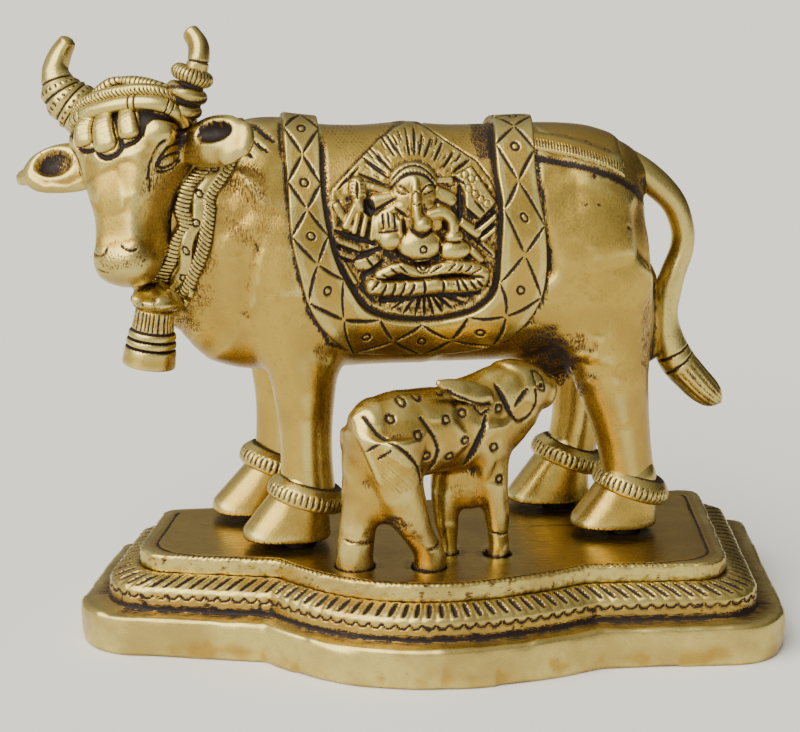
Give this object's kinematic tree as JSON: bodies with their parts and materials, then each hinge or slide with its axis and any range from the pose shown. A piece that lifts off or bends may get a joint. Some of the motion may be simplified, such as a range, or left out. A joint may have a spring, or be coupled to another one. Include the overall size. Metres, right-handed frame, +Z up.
{
  "type": "cow and calf statue",
  "caption": "Cast brass cow with a suckling calf on a stepped base with a bowed front; the cow wears a saddle cloth with a seated elephant-headed figure, a garland with a bell and anklets.",
  "frame": {"origin": "on the flat underside of the base, behind the middle of its front bow", "axes": "+X along the base from the cow's head towards her tail, -Y the front with the bow and the calf, +Z up"},
  "size_m": [0.2155, 0.1145, 0.1745],
  "materials": {
    "brass": "cast, satin on the high parts and dark in the hollows"
  },
  "bodies": {
    "root": {"base": "brass", "cow": "brass", "calf": "brass"}
  },
  "joints": []
}
